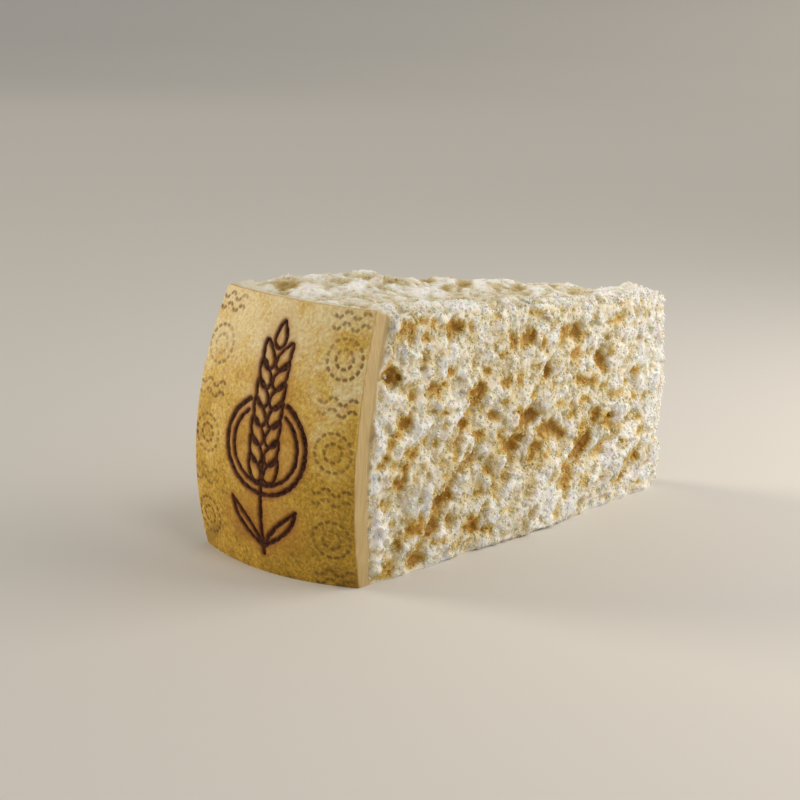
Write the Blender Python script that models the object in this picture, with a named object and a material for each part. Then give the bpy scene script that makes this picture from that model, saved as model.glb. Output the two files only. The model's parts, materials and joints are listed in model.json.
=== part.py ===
"""A broken wedge of hard grating cheese, split from a large drum-shaped wheel.

Metres, +Z up. The wedge rests on its flat underside. The rind faces -X, the blunt
tip points to +X, and the two long broken faces look to -Y and +Y. The origin is
under the middle of the wedge, on the surface that it stands on. Places on the wedge
are measured from its near rind corner: x along the right-hand face to the tip,
y across to the left-hand face, z up.
"""

import math

import bmesh
import bpy
from mathutils import Vector, noise

# ---- Driving dimensions, in metres ---------------------------------------------
WHEEL_RADIUS = 0.175        # of the whole wheel at its waist
BARREL_RADIUS = 0.159       # curve of the bulging side, seen in profile
WAIST_HEIGHT = 0.0422       # of the wheel's widest level above the underside
RIND_HEIGHT = 0.118         # of the wedge at its rind
TIP_HEIGHT = 0.105          # of the wedge at its tip, where the top has sunk
RIND_CHORD = 0.0864         # straight across the foot of the rind
FACE_LENGTH = 0.2203        # of the right-hand broken face at its foot
FACE_TO_RIND = math.radians(97.2)   # angle in plan between that face and the chord
LEFT_FLARE = 0.0036         # how much wider the rind is at its top than at its foot
FOOT_SWELL = 0.0038         # how much the foot of the rind is rounder than the wheel
NEAR_WEAR = 0.0030          # how far the near corner of that foot is worn back
TIP_WIDTH = 0.022           # across the blunt tip
TIP_SKEW = 0.006            # how far the tip's left corner falls short of its right one
RIND_BAND = 0.009           # depth of the rind, scored clean by the knife
MIDDLE = Vector((0.1033, 0.0398))   # in plan, of the wedge's bounding box

# Rise of the top along its far edge, from the rind to the tip: (x, rise)
FAR_EDGE_RISE = (
    (0.000, 0.0008), (0.015, 0.0026), (0.022, 0.0050), (0.030, 0.0050), (0.048, 0.0056),
    (0.064, 0.0070), (0.072, 0.0060), (0.084, 0.0028), (0.097, 0.0046), (0.133, 0.0040),
    (0.148, 0.0020), (0.160, 0.0026), (0.172, 0.0004), (0.190, -0.0006), (0.203, -0.0012),
    (0.212, 0.0030), (0.225, 0.0032))
# Reach of the tip's right-hand edge from its foot to its top: (z, reach)
TIP_EDGE_REACH = (
    (0.000, 0.0010), (0.009, 0.0056), (0.019, 0.0044), (0.030, -0.0002), (0.043, 0.0040),
    (0.052, 0.0043), (0.065, 0.0033), (0.079, 0.0010), (0.090, -0.0008), (0.104, -0.0032))
# Torn ridges on the right-hand face: (x and z of the foot, x and z of the head).
# Each is gentle on its upper side and steep on its lower one, with a gully below it.
RIDGES = (
    (0.084, 0.030, 0.104, 0.060), (0.132, 0.022, 0.156, 0.047), (0.163, 0.034, 0.194, 0.052),
    (0.034, 0.030, 0.069, 0.053), (0.051, 0.056, 0.069, 0.079), (0.028, 0.008, 0.050, 0.036),
    (0.110, 0.008, 0.128, 0.030), (0.178, 0.012, 0.200, 0.030))
RIDGE_DEPTH = 0.0032
RIDGE_FADE = 0.010          # over which its two ends die away
GENTLE_SIDE = 0.0085
STEEP_SIDE = 0.0028
GULLY_PLACE = 0.0065        # from the ridge's crest
GULLY_WIDTH = 0.0042
# Deep hollows on the right-hand face: (x, z, radius)
HOLLOWS = (
    (0.018, 0.090, 0.0050), (0.026, 0.067, 0.0060), (0.022, 0.036, 0.0050),
    (0.057, 0.104, 0.0060), (0.058, 0.078, 0.0055), (0.094, 0.046, 0.0070),
    (0.115, 0.058, 0.0060), (0.129, 0.047, 0.0085), (0.155, 0.047, 0.0070),
    (0.177, 0.044, 0.0070), (0.142, 0.093, 0.0060), (0.107, 0.095, 0.0065),
    (0.164, 0.078, 0.0065), (0.122, 0.078, 0.0055), (0.036, 0.018, 0.0065),
    (0.074, 0.012, 0.0055), (0.050, 0.031, 0.0050))
HOLLOW_DEPTH = 0.0032

# ---- Relief of the broken faces, in metres -------------------------------------
SWELL_SIZE = 0.050          # slow waves across a face
SWELL_DEPTH = 0.0022
PIT_SPACING = 0.0105        # small hollows everywhere
PIT_DEPTH = 0.0024
LUMP_SIZE = 0.0065          # crumbly lumps between the hollows
LUMP_DEPTH = 0.0009
TOP_SHARE = 0.55            # of all these on the top, which split more smoothly
WANDER_SIZE = 0.010         # uneven outlines of hollows, pits and ridges
WANDER = 0.0023
DEEPEST = 0.0060            # that the relief reaches anywhere
FOOT_BULGE = 0.0038         # of the right-hand face low down
EDGE_ROUND = 0.0075         # worn shoulders where two broken faces meet
ROUND_SHARE = 1 - math.sqrt(0.5)    # of a round edge's radius that each face loses

# ---- Mesh ----------------------------------------------------------------------
CELL = 0.0025               # of the grid that the relief is worked on
KEPT_TRIANGLES = 11600      # after the flat and smooth parts are thinned out
NEAR = 0.0001               # closer than this counts as the same place


def rind_radius(height):
    """The wheel's radius at a height above the underside."""
    return WHEEL_RADIUS - (height - WAIST_HEIGHT) ** 2 / (2 * BARREL_RADIUS)


def left_rind_corner():
    return Vector((math.cos(FACE_TO_RIND), math.sin(FACE_TO_RIND))) * RIND_CHORD


def wheel_axis():
    """The wheel's axis in plan."""
    chord = left_rind_corner()
    inward = Vector((chord.y, -chord.x)).normalized()
    reach = math.sqrt(rind_radius(0) ** 2 - (RIND_CHORD / 2) ** 2)
    return chord / 2 + inward * reach


def along(table, place):
    """The second number of a table of pairs, read between its entries."""
    for (x0, y0), (x1, y1) in zip(table, table[1:]):
        if place <= x1:
            return y0 + (y1 - y0) * smooth_step(place, x0, x1)
    return table[-1][1]


def smooth_step(value, low, high):
    t = min(1.0, max(0.0, (value - low) / (high - low)))
    return t * t * (3 - 2 * t)


def wrap(u, v, w):
    """A point of the unit block as a point of the smooth wedge.

    u runs from the rind to the tip, v from the right-hand face to the left-hand one
    and w from the underside to the top.
    """
    height = w * (RIND_HEIGHT + (TIP_HEIGHT - RIND_HEIGHT) * u)
    axis = wheel_axis()
    left_corner = left_rind_corner()
    near_angle = math.atan2(-axis.y, -axis.x) % math.tau
    left_angle = math.atan2(left_corner.y - axis.y, left_corner.x - axis.x) % math.tau
    left_angle -= LEFT_FLARE * w / WHEEL_RADIUS
    angle = near_angle + (left_angle - near_angle) * v
    foot = FOOT_SWELL * math.sin(math.pi * v) - NEAR_WEAR * (1 - v) ** 3
    radius = rind_radius(height) + foot * (1 - w) ** 3
    rind = axis + Vector((math.cos(angle), math.sin(angle))) * radius
    reach = along(TIP_EDGE_REACH, height)
    tip = Vector((FACE_LENGTH + reach - TIP_SKEW * v, TIP_WIDTH * v))
    plan = rind.lerp(tip, u)
    return Vector((plan.x, plan.y, height))


def subdivided_block():
    """A unit cube cut into cells of about CELL once it is wrapped."""
    bpy.ops.mesh.primitive_cube_add(size=1, location=(0.5, 0.5, 0.5))
    block = bpy.context.object
    bpy.ops.object.transform_apply(location=True)
    mesh = bmesh.new()
    mesh.from_mesh(block.data)
    lengths = (FACE_LENGTH, (RIND_CHORD + TIP_WIDTH) / 2, RIND_HEIGHT)
    for axis, length in enumerate(lengths):
        edges = [edge for edge in mesh.edges
                 if abs(edge.verts[0].co[axis] - edge.verts[1].co[axis]) > 0.5]
        bmesh.ops.subdivide_edges(
            mesh, edges=edges, cuts=round(length / CELL) - 1, use_grid_fill=True)
    mesh.to_mesh(block.data)
    mesh.free()
    return block


def pits(point):
    """Small round hollows of many depths, from -0.65 at the deepest to 0.35 between them."""
    bent = (point + WANDER * noise.noise_vector(point / WANDER_SIZE)) / PIT_SPACING
    distances, centres = noise.voronoi(bent)
    strength = 0.5 + 0.5 * noise.cell(centres[0] * 7.3)
    radius = 0.30 + 0.20 * noise.cell(centres[0] * 3.1 + Vector((9, 4, 2)))
    return 0.35 - strength * (1 - smooth_step(distances[0], 0.2 * radius, 1.9 * radius))


def ridges(point):
    """Torn ridges, from 1 on their crests to -1 in the gullies below them."""
    total = 0
    for x0, z0, x1, z1 in RIDGES:
        start = Vector((x0, z0))
        run = Vector((x1, z1)) - start
        length = run.length
        run.normalize()
        away = Vector((point.x, point.z)) - start
        step = away.dot(run)
        side = away.x * run.y - away.y * run.x
        side += WANDER * noise.noise(point / WANDER_SIZE)
        fade = smooth_step(step, -RIDGE_FADE, RIDGE_FADE / 2)
        fade *= 1 - smooth_step(step, length - RIDGE_FADE / 2, length + RIDGE_FADE)
        crest = math.exp(-(side / (GENTLE_SIDE if side < 0 else STEEP_SIDE)) ** 2)
        gully = math.exp(-((side - GULLY_PLACE) / GULLY_WIDTH) ** 2)
        total += fade * (crest - gully)
    return total


def hollows(point):
    """Deep hollows, from -1 at the middle of each to 0 outside it."""
    total = 0
    for x, z, radius in HOLLOWS:
        away = Vector((point.x - x, point.z - z))
        away += WANDER * noise.noise_vector(point / WANDER_SIZE).xz
        total -= 1 - smooth_step(away.length, 0.25 * radius, 1.25 * radius)
    return total


def relief(point, facing):
    """How far the broken surface stands out from the smooth wedge at a point."""
    swell = noise.fractal(point / SWELL_SIZE + Vector((3.1, 7.7, 1.3)), 1.0, 2.0, 2)
    lumps = noise.fractal(point / LUMP_SIZE + Vector((5.0, 2.0, 8.0)), 0.8, 2.1, 2)
    depth = SWELL_DEPTH * swell + PIT_DEPTH * pits(point) + LUMP_DEPTH * lumps
    if facing.z > 0.6:
        return TOP_SHARE * depth
    if facing.y < -0.3:
        depth += RIDGE_DEPTH * ridges(point) + HOLLOW_DEPTH * hollows(point)
        middle = smooth_step(point.x, 0.01, 0.05) * (1 - smooth_step(point.x, 0.17, 0.22))
        depth += FOOT_BULGE * middle * (1 - smooth_step(point.z, 0.005, 0.045))
    if depth < 0:
        depth = -DEEPEST * math.tanh(-depth / DEEPEST)
    return depth


def shoulder(gap):
    """How far a face has worn back at a distance from its nearest broken edge."""
    if gap > EDGE_ROUND:
        return 0
    return ROUND_SHARE * EDGE_ROUND * (1 - gap / EDGE_ROUND) ** 2


def break_open(block):
    """Wraps the block and roughens every face but the rind and the underside."""
    mesh = bmesh.new()
    mesh.from_mesh(block.data)
    unit_place = {vert: vert.co.copy() for vert in mesh.verts}
    for vert in mesh.verts:
        vert.co = wrap(*vert.co)
    mesh.normal_update()
    moves = {}
    for vert, (u, v, w) in unit_place.items():
        rough = smooth_step(u * FACE_LENGTH, RIND_BAND, RIND_BAND + 0.004)
        width = RIND_CHORD + (TIP_WIDTH - RIND_CHORD) * u
        to_side = min(v, 1 - v) * width
        to_top = (1 - w) * RIND_HEIGHT
        to_tip = (1 - u) * FACE_LENGTH
        move = Vector((0, 0, 0))
        if to_top < NEAR:
            far_rise = along(FAR_EDGE_RISE, vert.co.x)
            move.z += far_rise * smooth_step(v, 0.25, 0.95) * smooth_step(u, 0, 0.03)
            move.z -= rough * shoulder(min(to_side, to_tip))
        if to_side < NEAR:
            side = 1 if v > 0.5 else -1
            move.y -= side * rough * shoulder(min(to_top, to_tip))
        if to_tip < NEAR:
            move.x -= shoulder(min(to_top, to_side))
        on_underside = vert.co.z < NEAR
        if rough > 0 and (not on_underside or min(to_side, to_tip) < NEAR):
            move += vert.normal * relief(vert.co, vert.normal) * rough
        if on_underside:
            move.z = 0
        moves[vert] = move
    for vert, move in moves.items():
        vert.co += move
    flatten_underside(mesh)
    bmesh.ops.translate(mesh, verts=mesh.verts, vec=Vector((-MIDDLE.x, -MIDDLE.y, 0)))
    bmesh.ops.triangulate(mesh, faces=mesh.faces)
    mesh.to_mesh(block.data)
    mesh.free()


def flatten_underside(mesh):
    """Leaves one face where the wedge rests."""
    under = {face for face in mesh.faces if all(vert.co.z < NEAR for vert in face.verts)}
    inner = [edge for edge in mesh.edges if all(face in under for face in edge.link_faces)]
    bmesh.ops.dissolve_edges(mesh, edges=inner, use_verts=True)


def thin_out(wedge):
    """Spends fewer triangles on the flat and smooth parts, and keeps the underside flat."""
    thin = wedge.modifiers.new("thin_out", "DECIMATE")
    thin.ratio = KEPT_TRIANGLES / len(wedge.data.polygons)
    bpy.context.view_layer.objects.active = wedge
    bpy.ops.object.modifier_apply(modifier=thin.name)
    for vert in wedge.data.vertices:
        if vert.co.z < NEAR:
            vert.co.z = 0


def cheese_material():
    """Pale straw-coloured paste, slightly waxy."""
    material = bpy.data.materials.new("pale_hard_cheese")
    material.use_nodes = True
    shader = material.node_tree.nodes["Principled BSDF"]
    shader.inputs["Base Color"].default_value = (0.80, 0.66, 0.40, 1)
    shader.inputs["Roughness"].default_value = 0.55
    shader.inputs["Metallic"].default_value = 0.0
    return material


def make_wedge():
    for thing in list(bpy.data.objects):
        bpy.data.objects.remove(thing)
    group = bpy.data.collections.new("cheese_wedge")
    bpy.context.scene.collection.children.link(group)
    wedge = subdivided_block()
    wedge.name = "wedge"
    for holder in list(wedge.users_collection):
        holder.objects.unlink(wedge)
    group.objects.link(wedge)
    break_open(wedge)
    thin_out(wedge)
    wedge.data.materials.append(cheese_material())
    wedge.data.shade_smooth()
    return wedge


make_wedge()
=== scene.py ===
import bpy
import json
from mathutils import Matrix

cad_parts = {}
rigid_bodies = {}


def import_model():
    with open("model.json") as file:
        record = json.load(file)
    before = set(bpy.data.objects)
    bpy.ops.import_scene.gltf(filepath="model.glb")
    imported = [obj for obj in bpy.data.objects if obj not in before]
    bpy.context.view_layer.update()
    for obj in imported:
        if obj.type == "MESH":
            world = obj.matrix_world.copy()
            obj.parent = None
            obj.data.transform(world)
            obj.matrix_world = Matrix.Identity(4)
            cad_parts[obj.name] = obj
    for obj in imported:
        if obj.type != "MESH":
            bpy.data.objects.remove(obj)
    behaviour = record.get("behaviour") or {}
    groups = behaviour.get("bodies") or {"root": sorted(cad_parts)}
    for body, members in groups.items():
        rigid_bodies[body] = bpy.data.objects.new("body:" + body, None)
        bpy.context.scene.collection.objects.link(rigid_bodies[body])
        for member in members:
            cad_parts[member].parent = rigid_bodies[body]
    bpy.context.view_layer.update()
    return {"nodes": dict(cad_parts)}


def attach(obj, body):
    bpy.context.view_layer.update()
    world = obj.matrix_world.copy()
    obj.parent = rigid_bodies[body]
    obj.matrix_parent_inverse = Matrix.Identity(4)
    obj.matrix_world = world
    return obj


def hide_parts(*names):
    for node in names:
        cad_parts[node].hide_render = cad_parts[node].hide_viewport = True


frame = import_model()

import json
import math
import bpy
import bmesh
import numpy as np
from mathutils import Euler, Matrix, Vector, kdtree
from mathutils.bvhtree import BVHTree

mm = 0.001
rng = np.random.default_rng(27)

# the wedge's own measures in metres, from its near rind corner on the table
wedgeShape = {
    "nearCorner": (-0.1033, -0.0398),  # where that corner stands
    "wheelRadius": 0.175,  # of the whole wheel at its waist
    "barrelRadius": 0.159,  # of its bulging side, in profile
    "waistHeight": 0.0422,
    "rindHeight": 0.118, "tipHeight": 0.105,
    "rindChord": 0.0864,  # straight across the foot of the rind
    "faceLength": 0.2203,  # of the right-hand face
    "faceToRind": 97.2,  # degrees in plan
    "leftFlare": 0.0036,  # how much wider the rind is at its top
    "footSwell": 0.0038, "nearWear": 0.0030,  # of the rind's foot
    "tipWidth": 0.022, "tipSkew": 0.006,  # of its blunt end
}
# the photo's point of view: metres, degrees, and millimetres of lens
shown = {
    "place": (-0.4926, -0.4300, 0.2287),
    "heading": 43.45, "down": 14.72, "roll": 2.11,
    "lens": 63, "sensor": 36,
}


def linear(hexCode):
    # an sRGB hex code as a linear colour
    parts = [int(hexCode[i:i + 2], 16) / 255 for i in (1, 3, 5)]
    return tuple(p / 12.92 if p < 0.04045 else ((p + 0.055) / 1.055) ** 2.4 for p in parts) + (1,)


def ease(value, low, high):
    # 0 below low, 1 above high, smooth between them
    t = np.clip((value - low) / (high - low), 0, 1)
    return t * t * (3 - 2 * t)


def pickOnly(*objects):
    bpy.ops.object.select_all(action="DESELECT")
    for thing in objects:
        thing.select_set(True)
    bpy.context.view_layer.objects.active = objects[0]


def readPoints(mesh, what="co"):
    flat = np.empty(len(mesh.vertices) * 3, np.float32)
    mesh.vertices.foreach_get(what, flat)
    return flat.reshape(-1, 3).astype(float)


def writePoints(mesh, points):
    mesh.vertices.foreach_set("co", np.asarray(points, np.float32).ravel())
    mesh.update()


def readEdges(mesh):
    flat = np.empty(len(mesh.edges) * 2, np.int32)
    mesh.edges.foreach_get("vertices", flat)
    return flat.reshape(-1, 2)


def keepField(mesh, name, values):
    layer = mesh.attributes.new(name, "FLOAT", "POINT")
    layer.data.foreach_set("value", np.asarray(values, np.float32))


def readField(mesh, name):
    values = np.empty(len(mesh.vertices), np.float32)
    mesh.attributes[name].data.foreach_get("value", values)
    return values


def relax(values, edges, rounds, share=0.5):
    # moves each value towards the mean of its neighbours
    values = np.array(values, float)
    flat = values.reshape(len(values), -1)
    count = np.bincount(edges.ravel(), minlength=len(values)).astype(float)
    count[count == 0] = 1
    for _ in range(rounds):
        for column in range(flat.shape[1]):
            line = flat[:, column]
            total = np.bincount(edges[:, 0], weights=line[edges[:, 1]], minlength=len(line))
            total += np.bincount(edges[:, 1], weights=line[edges[:, 0]], minlength=len(line))
            flat[:, column] = line + share * (total / count - line)
    return flat.reshape(values.shape)


def nearest(points, centres):
    # number of the nearest centre of every point
    tree = kdtree.KDTree(len(centres))
    for i, centre in enumerate(centres):
        tree.insert(centre, i)
    tree.balance()
    return np.array([tree.find(point)[1] for point in points])


def uneven(points, size, seed):
    # smooth unevenness from about -1 to 1 with bumps of this size, from a hashed lattice
    table = np.random.default_rng(seed).normal(size=(4096, 3))
    table /= np.linalg.norm(table, axis=1)[:, None]
    spot = points / size
    cell = np.floor(spot).astype(np.int64)
    part = spot - cell
    fade = part ** 3 * (part * (part * 6 - 15) + 10)
    total = np.zeros(len(points))
    for corner in ((i, j, k) for i in (0, 1) for j in (0, 1) for k in (0, 1)):
        at = cell + corner
        key = (at[:, 0] * 73856093 ^ at[:, 1] * 19349663 ^ at[:, 2] * 83492791) & 4095
        share = np.prod(np.where(corner, fade, 1 - fade), axis=1)
        total += share * (table[key] * (part - corner)).sum(1)
    return total * 1.7


def layered(points, layers):
    # several sizes of unevenness together: (share, size in mm, seed)
    return sum(share * uneven(points, size * mm, seed) for share, size, seed in layers)


def addNode(tree, kind, settings=None, links=None):
    # a number stands for a socket by its place: a colour mix has its factor at 0,
    # its two colours at 6 and 7, and its result at 2
    node = tree.nodes.new("ShaderNode" + kind)
    for name, value in (settings or {}).items():
        if name == "stops":
            ramp = node.color_ramp
            while len(ramp.elements) < len(value):
                ramp.elements.new(0.5)
            for stop, (place, code) in zip(ramp.elements, value):
                stop.position = place
                stop.color = linear(code) if isinstance(code, str) else (code, code, code, 1)
        elif isinstance(name, str) and hasattr(node, name):
            setattr(node, name, value)
        else:
            node.inputs[name].default_value = value
    for name, source in (links or {}).items():
        tree.links.new(source, node.inputs[name])
    return node


def newMaterial(name):
    material = bpy.data.materials.new(name)
    material.use_nodes = True
    tree = material.node_tree
    return material, tree, tree.nodes["Principled BSDF"]


def rindRadius(z):
    waist, barrel = wedgeShape["waistHeight"], wedgeShape["barrelRadius"]
    return wedgeShape["wheelRadius"] - (z - waist) ** 2 / (2 * barrel)


def rindPlan():
    # the rind's left corner and the wheel's middle, in plan from the near corner
    turn = math.radians(wedgeShape["faceToRind"])
    left = np.array([math.cos(turn), math.sin(turn)]) * wedgeShape["rindChord"]
    inward = np.array([left[1], -left[0]]) / wedgeShape["rindChord"]
    reach = math.sqrt(rindRadius(0) ** 2 - (wedgeShape["rindChord"] / 2) ** 2)
    return left, left / 2 + inward * reach


def wrapBlock(u, v, w):
    # u from rind to tip, v from the right-hand face to the left one, w from foot to top
    s = wedgeShape
    left, axis = rindPlan()
    nearAngle = math.atan2(-axis[1], -axis[0]) % math.tau
    leftAngle = math.atan2(left[1] - axis[1], left[0] - axis[0]) % math.tau
    z = w * (s["rindHeight"] + (s["tipHeight"] - s["rindHeight"]) * u)
    angle = nearAngle + (leftAngle - s["leftFlare"] * w / s["wheelRadius"] - nearAngle) * v
    foot = s["footSwell"] * np.sin(np.pi * v) - s["nearWear"] * (1 - v) ** 3
    radius = rindRadius(z) + foot * (1 - w) ** 3
    x = axis[0] + np.cos(angle) * radius
    y = axis[1] + np.sin(angle) * radius
    x = x + (s["faceLength"] - s["tipSkew"] * v - x) * u
    y = y + (s["tipWidth"] * v - y) * u
    return np.stack([x + s["nearCorner"][0], y + s["nearCorner"][1], z], 1)


def insetPlaces(points):
    # distance from each of the wedge's smooth sides, in metres
    s = wedgeShape
    left, axis = rindPlan()
    x = points[:, 0] - s["nearCorner"][0]
    y = points[:, 1] - s["nearCorner"][1]
    z = points[:, 2]
    tipLeft = np.array([s["faceLength"] - s["tipSkew"], s["tipWidth"]])
    run = (tipLeft - left) / np.linalg.norm(tipLeft - left)
    topHeight = s["rindHeight"] + (s["tipHeight"] - s["rindHeight"]) * x / s["faceLength"]
    return {
        "rind": rindRadius(z) - np.hypot(x - axis[0], y - axis[1]),
        "right": y,
        "left": (x - left[0]) * run[1] - (y - left[1]) * run[0],
        "top": topHeight - z,
        "tip": s["faceLength"] - x,
        "foot": z,
    }


def seenPlaces(points, normal, level):
    # where the photo's line of sight through each point meets a face's plane, in mm
    eye = np.array(shown["place"]) - (*wedgeShape["nearCorner"], 0)
    away = points - (*wedgeShape["nearCorner"], 0) - eye
    normal = np.array(normal)
    return (eye + away * ((level - eye @ normal) / (away @ normal))[:, None]) / mm


# rind: a thick skin, its outer face on the wheel's barrel, its edges scored by the knife
rind = {
    "across": 232, "up": 316,  # cells on the outer face
    "depths": (  # mm, of the loops round the scored edges
        0.35, 0.8, 1.4, 2.2, 3.2, 4.4, 5.6, 6.4, 7.0, 7.6, 8.4),
    "diveFrom": 5.6,  # mm, where these edges sink below the paste
    "diveDepth": 0.35,  # mm
    "proud": 0.10,  # mm, over the solid behind it
    "arc": 88.0, "height": 118.0,  # mm, of the outer face
    "topNarrow": 0.55,  # share by which the edge is narrower on the top
    "rounding": 10,  # mm, over which it narrows at the corners
    "clearEdge": 0.5,  # mm without any relief along the outline
    "shake": 0.45,  # mm by which the burnt lines waver
    "burnDepth": 0.75, "pinDepth": 0.35,  # mm
}
# the burnt mark, in mm on the outer face from its near foot corner
fireMark = {
    "middle": 43.5, "level": 57.0,  # centre of the double ring
    "stem": (9, 50, 0.8, 0.85),  # foot, top, bow, half width of the line
    "rings": ((21.0, 0.95), (17.0, 0.75)),  # radius, half width of the line
    "ringGap": 10.0,  # open on each side of the ear
    "seedRows": 7, "firstSeed": 47, "seedStep": 8.0,
    "seed": (4.6, 12.5, 5.6, 24),  # aside, length, width, lean in degrees
    "topSeed": (103.5, 11, 5.4),  # height, length, width
    "seedLine": 0.68,
    "leaf": (12, 17, 31, 0.82),  # foot, aside and height of the tip, half width
    "leafBows": (3.8, -2.2),
    "scorch": (0.4, 1.7),  # wider than the lines by, softness
    "singed": ((57, 21, 21), (78, 10, 30), (23, 19, 12)),  # level, half width, half height
}
# the pricked marks, in mm on the outer face
pinMark = {
    "columns": (  # across, levels of the rings, of the waves
        (10, (98, 60, 22), (113, 79, 41, 4)),
        (79, (94, 55, 17), (112, 75, 36))),
    "rings": ((8.2, 0, 60, 16), (4.0, 20, 40, 8)),  # radius, first angle, points, dashes
    "waveReach": 9, "waveRows": (-2.3, 2.3), "waveRise": 1.5, "waveTurn": 0.7, "waveDashes": 8,
    "dashShare": 0.16,  # half of a dash, as a share of its step
    "halfWidth": 0.60, "soft": 0.45,
}


def arcLine(centreA, centreZ, radius, start, end, steps):
    turns = np.radians(np.linspace(start, end, steps))
    return np.stack([centreA + radius * np.cos(turns), centreZ + radius * np.sin(turns)], 1)


def seedLine(centreA, centreZ, length, width, lean):
    # the outline of one seed, pointed at its upper end
    turn = np.linspace(0, math.tau, 33)
    along = -np.cos(turn) * length / 2
    across = np.sin(turn) * width / 2 * (1 - 0.45 * along / (length / 2))
    c, s = math.cos(math.radians(lean)), math.sin(math.radians(lean))
    return np.stack([centreA + along * s + across * c, centreZ + along * c - across * s], 1)


def bladeLine(footA, footZ, tipA, tipZ, bow):
    # a line from foot to tip, bowed to one side
    t = np.linspace(0, 1, 24)
    side = np.sin(np.pi * t) * bow
    return np.stack([footA + (tipA - footA) * t + side, footZ + (tipZ - footZ) * t], 1)


def burntLines():
    # an ear of grass in a double ring, with two leaves: (line, half width)
    middle, thin = fireMark["middle"], fireMark["seedLine"]
    foot, top, bow, half = fireMark["stem"]
    lines = [(bladeLine(middle, foot, middle, top, bow), half)]
    for radius, half in fireMark["rings"]:
        gap = math.degrees(math.asin(fireMark["ringGap"] / radius))
        ring = arcLine(middle, fireMark["level"], radius, 90 + gap, 450 - gap, 90)
        lines.append((ring, half))
    aside, length, width, lean = fireMark["seed"]
    for row in range(fireMark["seedRows"]):
        z = fireMark["firstSeed"] + row * fireMark["seedStep"]
        for side in (-1, 1):
            seed = seedLine(middle + side * aside, z, length, width, side * lean)
            lines.append((seed, thin))
    lines.append((seedLine(middle, *fireMark["topSeed"], 0), thin))
    foot, aside, height, half = fireMark["leaf"]
    for side in (-1, 1):
        for bow in fireMark["leafBows"]:
            leaf = bladeLine(middle, foot, middle + side * aside, height, side * bow)
            lines.append((leaf, half))
    return lines


def singedPlaces(place):
    # where the hot iron's plate came close and toasted the rind
    a, z = place[:, 0] - fireMark["middle"], place[:, 1]
    ovals = [(np.hypot(a / wide, (z - level) / tall) - 1) * min(wide, tall)
             for level, wide, tall in fireMark["singed"]]
    return 1 - ease(np.min(ovals, axis=0), -2, 5)  # mm over which it fades


def pinDashes():
    # short pricked dashes in rings and waves down both sides of the rind
    paths = []
    reach, rise, turn = pinMark["waveReach"], pinMark["waveRise"], pinMark["waveTurn"]
    for a, ringLevels, waveLevels in pinMark["columns"]:
        for z in ringLevels:
            for radius, start, steps, count in pinMark["rings"]:
                paths.append((arcLine(a, z, radius, start, start + 360, steps), count))
        for z in waveLevels:
            across = np.linspace(-reach, reach, 50)
            for row in pinMark["waveRows"]:
                wave = np.stack([a + across, z + row + rise * np.sin(across * turn)], 1)
                paths.append((wave, pinMark["waveDashes"]))
    dashes = []
    for path, count in paths:
        half = pinMark["dashShare"] * len(path) / count
        for k in range(count):
            spot = (k + 0.5) / count * (len(path) - 1)
            ends = []
            for at in (spot - half, spot + half):
                low = int(np.clip(at, 0, len(path) - 2))
                ends.append(path[low] + (path[low + 1] - path[low]) * (at - low))
            dashes.append((np.array(ends), pinMark["halfWidth"]))
    return dashes


def strokeField(place, lines, soft):
    # 1 on the lines, falling to 0 over soft mm beside them
    field = np.zeros(len(place))
    for line, half in lines:
        reach = np.ptp(line, axis=0) / 2 + 3 + soft
        near = np.where((np.abs(place - line.mean(0)) < reach).all(1))[0]
        spot = place[near]
        closest = np.full(len(near), 1e9)
        for a, b in zip(line, line[1:]):
            run = b - a
            t = np.clip(((spot - a) @ run) / max(run @ run, 1e-9), 0, 1)
            closest = np.minimum(closest, np.hypot(*(spot - a - t[:, None] * run).T))
        stroke = 1 - ease(closest, half - soft / 2, half + soft)
        field[near] = np.maximum(field[near], stroke)
    return field


def extrudedSkin():
    # a grid as the outer face, its outline drawn back in loops, and closed behind
    bpy.ops.object.select_all(action="DESELECT")
    bpy.ops.mesh.primitive_grid_add(
        x_subdivisions=rind["across"], y_subdivisions=rind["up"], size=1, location=(0, 0, 0))
    skin = bpy.context.object
    skin.name = "rindSkin"
    bpy.ops.object.mode_set(mode="EDIT")
    bpy.ops.mesh.select_all(action="DESELECT")
    bpy.ops.mesh.select_mode(type="EDGE")
    bpy.ops.mesh.select_non_manifold()
    before = 0
    for depth in rind["depths"]:
        bpy.ops.mesh.extrude_region_move(
            TRANSFORM_OT_translate={"value": (0, 0, (depth - before) * mm)})
        before = depth
    bpy.ops.mesh.edge_face_add()
    bpy.ops.object.mode_set(mode="OBJECT")
    return skin


def followSolid(points, depth):
    # the scored edges lie on the solid and sink into it at their far end
    solid = bmesh.new()
    solid.from_mesh(frame["nodes"]["wedge"].data)
    solidTree = BVHTree.FromBMesh(solid)
    solid.free()
    dive = ease(depth / mm, rind["diveFrom"], rind["depths"][-1])
    lift = (rind["proud"] - dive * rind["diveDepth"]) * mm
    for i in np.where(depth > 1e-6)[0]:
        spot, normal, _, _ = solidTree.find_nearest(Vector(points[i]))
        if normal.z > -0.9:  # the foot stays where it is
            points[i] = spot + normal * lift[i]
        points[i][2] = max(points[i][2], 0)


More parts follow.
